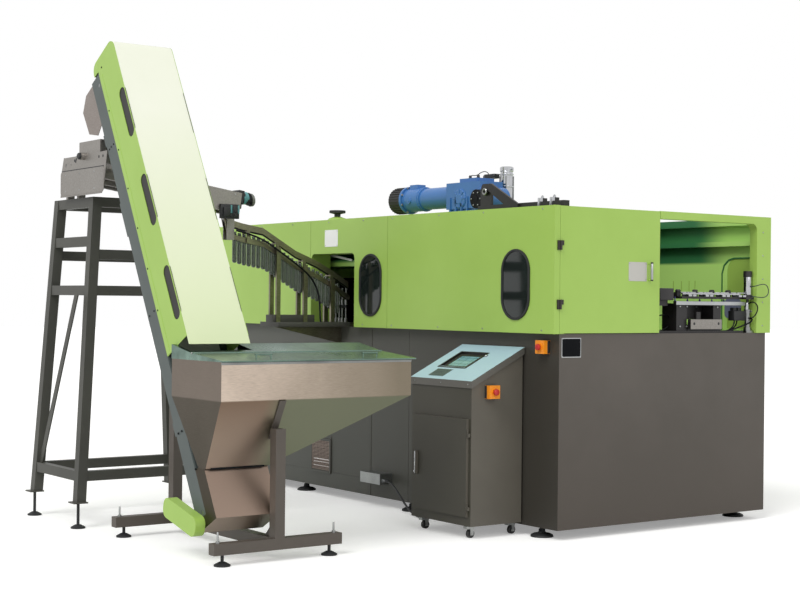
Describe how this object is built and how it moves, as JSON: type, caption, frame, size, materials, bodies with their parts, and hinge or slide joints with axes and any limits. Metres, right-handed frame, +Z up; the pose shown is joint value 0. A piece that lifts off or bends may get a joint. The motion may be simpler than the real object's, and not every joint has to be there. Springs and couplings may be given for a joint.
{
  "type": "blow moulding machine",
  "caption": "Linear bottle blow moulding machine with a preform hopper, belt elevator, roller sorter, chute and operator console.",
  "frame": {"origin": "middle of the pad under the machine's front foot at the outfeed end", "axes": "+X out of the outfeed end, along the machine; -Y towards the operator; +Z up"},
  "size_m": [4.3397, 3.972, 2.9028],
  "materials": {
    "green_paint": "semi-gloss",
    "pale_green_paint": "semi-gloss",
    "grey_paint": "satin",
    "frame_paint": "satin",
    "channel_paint": "satin",
    "blue_paint": "semi-gloss",
    "console_top_paint": "semi-gloss",
    "orange_plastic": "gloss",
    "red_plastic": "gloss",
    "stainless": "brushed",
    "sorter_steel": "brushed",
    "machine_steel": "machined",
    "black_steel": "satin",
    "mould_aluminium": "machined",
    "tinted_glass": "clear",
    "belt_plastic": "matte",
    "clear_plastic": "clear",
    "black_rubber": "matte",
    "cable_rubber": "matte",
    "wheel_rubber": "matte",
    "black_plastic": "matte"
  },
  "bodies": {
    "machine": {"access_panel": "grey_paint", "base_cabinet": "grey_paint", "cable_glands": "black_plastic", "chain_guard": "green_paint", "chute_preforms": "clear_plastic", "chute_rails": "sorter_steel", "clamp_frame": "machine_steel", "console_cabinet": "grey_paint", "console_cable": "cable_rubber", "console_top": "console_top_paint", "discharge_spout": "sorter_steel", "drive_gearbox": "blue_paint", "drive_motor": "blue_paint", "elevator_belt": "belt_plastic", "elevator_cover": "pale_green_paint", "elevator_frame": "channel_paint", "elevator_side_panels": "green_paint", "end_frame": "green_paint", "estop_boxes": "orange_plastic", "front_panels": "green_paint", "hopper_body": "stainless", "hopper_cover": "stainless", "hopper_frame": "frame_paint", "levelling_feet": "black_rubber", "lift_cylinder": "machine_steel", "outfeed_base": "black_steel", "oven_unit": "black_steel", "rear_panels": "green_paint", "roof_panel": "green_paint", "shaft_bracket": "black_steel", "sorter_housing": "sorter_steel", "sorter_motor": "black_plastic", "stand_frame": "frame_paint", "stretch_cylinder": "stainless", "window_panes": "tinted_glass"},
    "end_door": {"end_door": "green_paint"},
    "drive_shaft": {"drive_shaft": "machine_steel"},
    "mould_carrier_front": {"mould_carrier_front": "mould_aluminium"},
    "mould_carrier_rear": {"mould_carrier_rear": "mould_aluminium"},
    "stretch_carriage": {"stretch_carriage": "machine_steel"},
    "gripper_bar": {"gripper_bar": "black_steel", "outfeed_hose": "black_rubber"},
    "gripper_jaws_near": {"gripper_jaws_near": "machine_steel"},
    "gripper_jaws_far": {"gripper_jaws_far": "machine_steel"},
    "head_roller": {"head_roller": "machine_steel"},
    "tail_roller": {"tail_roller": "machine_steel"},
    "hopper_lid": {"hopper_lid": "stainless"},
    "sorter_roller_left": {"sorter_roller_left": "machine_steel"},
    "sorter_roller_right": {"sorter_roller_right": "machine_steel"},
    "console_door": {"console_door": "grey_paint"},
    "estop_button_base": {"estop_button_base": "red_plastic"},
    "estop_button_console": {"estop_button_console": "red_plastic"},
    "caster_fork_front_left": {"caster_fork_front_left": "machine_steel"},
    "caster_wheel_front_left": {"caster_wheel_front_left": "wheel_rubber"},
    "caster_fork_front_right": {"caster_fork_front_right": "machine_steel"},
    "caster_wheel_front_right": {"caster_wheel_front_right": "wheel_rubber"},
    "caster_fork_rear_left": {"caster_fork_rear_left": "machine_steel"},
    "caster_wheel_rear_left": {"caster_wheel_rear_left": "wheel_rubber"},
    "caster_fork_rear_right": {"caster_fork_rear_right": "machine_steel"},
    "caster_wheel_rear_right": {"caster_wheel_rear_right": "wheel_rubber"}
  },
  "joints": [
    {"name": "end_door_hinge", "type": "hinge", "parent": "machine", "child": "end_door", "pos_m": [0.214, -0.061, 1.346], "axis": [0, 0, -1], "range_deg": [0, 110]},
    {"name": "hopper_lid_hinge", "type": "hinge", "parent": "machine", "child": "hopper_lid", "pos_m": [-0.394, -1.606, 1.096], "axis": [0, -1, 0], "range_deg": [0, 85]},
    {"name": "console_door_hinge", "type": "hinge", "parent": "machine", "child": "console_door", "pos_m": [-0.133, -0.4633, 0.13], "axis": [0, 0, 1], "range_deg": [0, 110]},
    {"name": "base_stop_press", "type": "slide", "parent": "machine", "child": "estop_button_base", "axis": [0, 1, 0], "range_m": [0, 0.005], "stiffness_N_per_m": 600, "springref_m": -0.002},
    {"name": "console_stop_press", "type": "slide", "parent": "machine", "child": "estop_button_console", "axis": [-1, 0, 0], "range_m": [0, 0.005], "stiffness_N_per_m": 600, "springref_m": -0.002},
    {"name": "caster_swivel_front_left", "type": "hinge", "parent": "machine", "child": "caster_fork_front_left", "pos_m": [-0.624, -0.415, 0.075], "axis": [0, 0, 1], "continuous": true},
    {"name": "caster_spin_front_left", "type": "hinge", "parent": "caster_fork_front_left", "child": "caster_wheel_front_left", "pos_m": [-0.624, -0.397, 0.025], "axis": [1, 0, 0], "continuous": true},
    {"name": "caster_swivel_front_right", "type": "hinge", "parent": "machine", "child": "caster_fork_front_right", "pos_m": [-0.184, -0.415, 0.075], "axis": [0, 0, 1], "continuous": true},
    {"name": "caster_spin_front_right", "type": "hinge", "parent": "caster_fork_front_right", "child": "caster_wheel_front_right", "pos_m": [-0.184, -0.397, 0.025], "axis": [1, 0, 0], "continuous": true},
    {"name": "caster_swivel_rear_left", "type": "hinge", "parent": "machine", "child": "caster_fork_rear_left", "pos_m": [-0.624, -0.102, 0.075], "axis": [0, 0, 1], "continuous": true},
    {"name": "caster_spin_rear_left", "type": "hinge", "parent": "caster_fork_rear_left", "child": "caster_wheel_rear_left", "pos_m": [-0.624, -0.084, 0.025], "axis": [1, 0, 0], "continuous": true},
    {"name": "caster_swivel_rear_right", "type": "hinge", "parent": "machine", "child": "caster_fork_rear_right", "pos_m": [-0.184, -0.102, 0.075], "axis": [0, 0, 1], "continuous": true},
    {"name": "caster_spin_rear_right", "type": "hinge", "parent": "caster_fork_rear_right", "child": "caster_wheel_rear_right", "pos_m": [-0.184, -0.084, 0.025], "axis": [1, 0, 0], "continuous": true},
    {"name": "tail_roller_spin", "type": "hinge", "parent": "machine", "child": "tail_roller", "pos_m": [-0.30097, -1.916, 0.25754], "axis": [0, 1, 0], "continuous": true},
    {"name": "head_roller_spin", "type": "hinge", "parent": "machine", "child": "head_roller", "pos_m": [-1.64468, -1.916, 2.6569], "axis": [0, 1, 0], "continuous": true},
    {"name": "sorter_spin_left", "type": "hinge", "parent": "machine", "child": "sorter_roller_left", "pos_m": [-2.134, -1.50372, 2.12066], "axis": [0, 0.989, -0.1478], "continuous": true},
    {"name": "sorter_spin_right", "type": "hinge", "parent": "machine", "child": "sorter_roller_right", "pos_m": [-2.054, -1.50372, 2.12066], "axis": [0, 0.989, -0.1478], "continuous": true},
    {"name": "drive_shaft_spin", "type": "hinge", "parent": "machine", "child": "drive_shaft", "pos_m": [-0.989, 0.394, 2.058], "axis": [0, 1, 0], "continuous": true},
    {"name": "gripper_lift", "type": "slide", "parent": "machine", "child": "gripper_bar", "axis": [0, 0, 1], "range_m": [0, 0.05]},
    {"name": "near_jaws_close", "type": "slide", "parent": "gripper_bar", "child": "gripper_jaws_near", "axis": [0, -1, 0], "range_m": [0, 0.008]},
    {"name": "far_jaws_close", "type": "slide", "parent": "gripper_bar", "child": "gripper_jaws_far", "axis": [0, 1, 0], "range_m": [0, 0.008]},
    {"name": "stretch_down", "type": "slide", "parent": "machine", "child": "stretch_carriage", "axis": [0, 0, -1], "range_m": [0, 0.09]},
    {"name": "front_mould_open", "type": "slide", "parent": "machine", "child": "mould_carrier_front", "axis": [0, -1, 0], "range_m": [0, 0.12]},
    {"name": "rear_mould_open", "type": "slide", "parent": "machine", "child": "mould_carrier_rear", "axis": [0, 1, 0], "range_m": [0, 0.12]}
  ],
  "couplings": [
    {"joint": "head_roller_spin", "follows": "tail_roller_spin", "ratio": 1},
    {"joint": "sorter_spin_right", "follows": "sorter_spin_left", "ratio": -1},
    {"joint": "far_jaws_close", "follows": "near_jaws_close", "ratio": 1},
    {"joint": "rear_mould_open", "follows": "front_mould_open", "ratio": 1}
  ]
}
